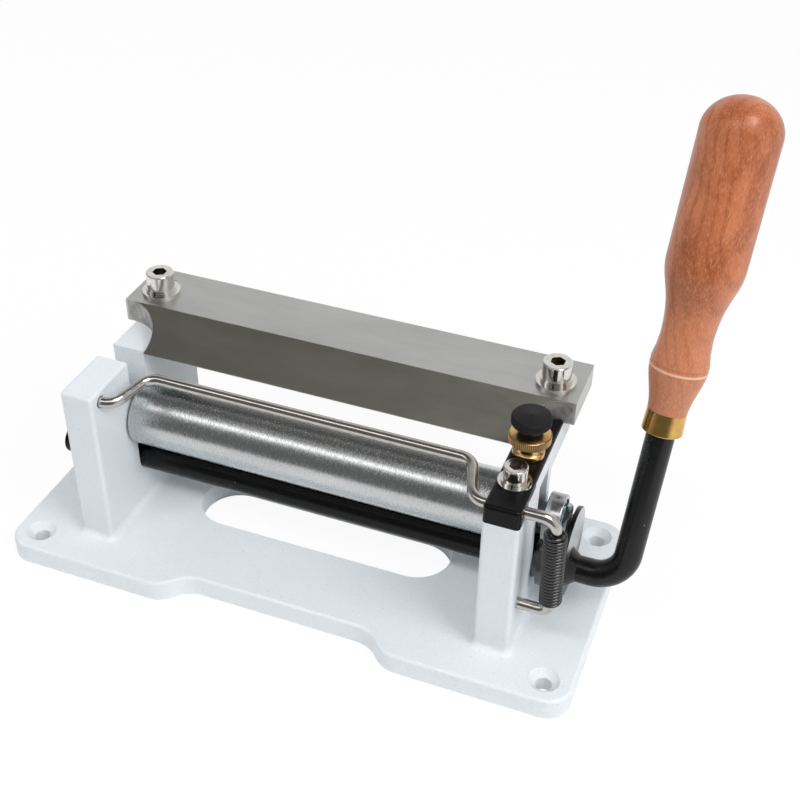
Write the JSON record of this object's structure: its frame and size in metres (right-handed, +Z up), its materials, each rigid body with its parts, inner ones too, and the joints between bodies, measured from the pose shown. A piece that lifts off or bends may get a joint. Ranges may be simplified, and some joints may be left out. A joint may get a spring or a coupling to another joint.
{
  "type": "leather splitting machine",
  "caption": "Hand-lever bench splitter for leather: cams lift a free-turning roller and press the strap against a bevelled blade, with a sprung wire guard and a screw depth stop.",
  "frame": {"origin": "centre of the rectangle of four foot holes, on the underside of the base", "axes": "+X towards the lever's side, along the roller; +Y to the back; +Z up"},
  "size_m": [0.3042, 0.1222, 0.2368],
  "materials": {
    "white_paint": "fine textured powder coat",
    "black_gloss": "gloss black",
    "zinc": "bright zinc",
    "nickel": "nickel plated",
    "stainless": "drawn stainless wire",
    "spring_steel": "oiled spring steel",
    "blade_steel": "ground",
    "dark_steel": "blackened",
    "bearing_steel": "polished",
    "roller_steel": "satin turned",
    "hub_steel": "turned",
    "brass": "satin",
    "wood": "varnished"
  },
  "bodies": {
    "frame": {"base_casting": "white_paint", "adjuster_plate": "black_gloss", "plate_screw": "zinc", "plate_screw_washer": "zinc", "plate_lock_washer": "nickel", "blade_screws": "nickel", "blade_lock_washers": "nickel", "blade_flat_washers": "nickel", "side_screw": "black_gloss", "spring_anchor_pin": "stainless", "guard_spring": "spring_steel", "left_shaft_bearing": "black_gloss", "right_shaft_bearing": "black_gloss"},
    "blade": {"splitting_blade": "blade_steel"},
    "roller_carriage": {"left_axle_block": "dark_steel", "right_axle_block": "dark_steel", "roller_axle": "dark_steel", "axle_spacers": "dark_steel", "axle_nuts": "zinc", "follower_inner_rings": "bearing_steel", "roller_inner_rings": "bearing_steel"},
    "roller": {"feed_roller": "roller_steel", "roller_outer_rings": "bearing_steel"},
    "left_follower": {"left_cam_follower": "bearing_steel"},
    "right_follower": {"right_cam_follower": "bearing_steel"},
    "lever": {"cam_shaft": "black_gloss", "left_lift_cam": "dark_steel", "right_lift_cam": "dark_steel", "cam_pins": "dark_steel", "shaft_clip": "spring_steel", "lever_hub": "hub_steel", "lever_rod": "black_gloss", "handle_ferrule": "brass", "handle_grip": "wood"},
    "guard": {"guard_wire": "stainless"},
    "depth_screw": {"adjusting_screw": "dark_steel"},
    "depth_knob": {"adjusting_knob": "black_gloss"},
    "depth_lock": {"lock_nut": "brass"}
  },
  "joints": [
    {"name": "lever_swing", "type": "hinge", "parent": "frame", "child": "lever", "pos_m": [0, -0.0025, 0.0346], "axis": [1, 0, 0], "range_deg": [0, 80]},
    {"name": "roller_lift", "type": "slide", "parent": "frame", "child": "roller_carriage", "axis": [0, 0, 1], "range_m": [0, 0.0134]},
    {"name": "roller_spin", "type": "hinge", "parent": "roller_carriage", "child": "roller", "pos_m": [0, -0.0025, 0.06], "axis": [1, 0, 0], "continuous": true},
    {"name": "left_follower_spin", "type": "hinge", "parent": "roller_carriage", "child": "left_follower", "pos_m": [0, -0.0025, 0.06], "axis": [1, 0, 0], "continuous": true},
    {"name": "right_follower_spin", "type": "hinge", "parent": "roller_carriage", "child": "right_follower", "pos_m": [0, -0.0025, 0.06], "axis": [1, 0, 0], "continuous": true},
    {"name": "guard_swing", "type": "hinge", "parent": "frame", "child": "guard", "pos_m": [0, -0.033, 0.0865], "axis": [1, 0, 0], "range_deg": [0, 70], "stiffness_Nm_per_rad": 0.02, "springref_deg": -17.19, "deforming": ["guard_spring"]},
    {"name": "blade_slide", "type": "slide", "parent": "frame", "child": "blade", "axis": [0, 1, 0], "range_m": [-0.0007, 0.0024]},
    {"name": "depth_screw_lift", "type": "slide", "parent": "frame", "child": "depth_screw", "axis": [0, 0, 1], "range_m": [0, 0.005]},
    {"name": "depth_knob_turn", "type": "hinge", "parent": "depth_screw", "child": "depth_knob", "pos_m": [0.09663, -0.0025, 0.105], "axis": [0, 0, 1], "range_deg": [0, 1800]},
    {"name": "lock_nut_turn", "type": "hinge", "parent": "frame", "child": "depth_lock", "pos_m": [0.09663, -0.0025, 0.095], "axis": [0, 0, 1], "range_deg": [0, 180]}
  ],
  "couplings": [
    {"joint": "roller_lift", "follows": "lever_swing", "m_per_rad": 0.0095963},
    {"joint": "depth_knob_turn", "follows": "depth_screw_lift", "rad_per_m": 6282.8}
  ]
}
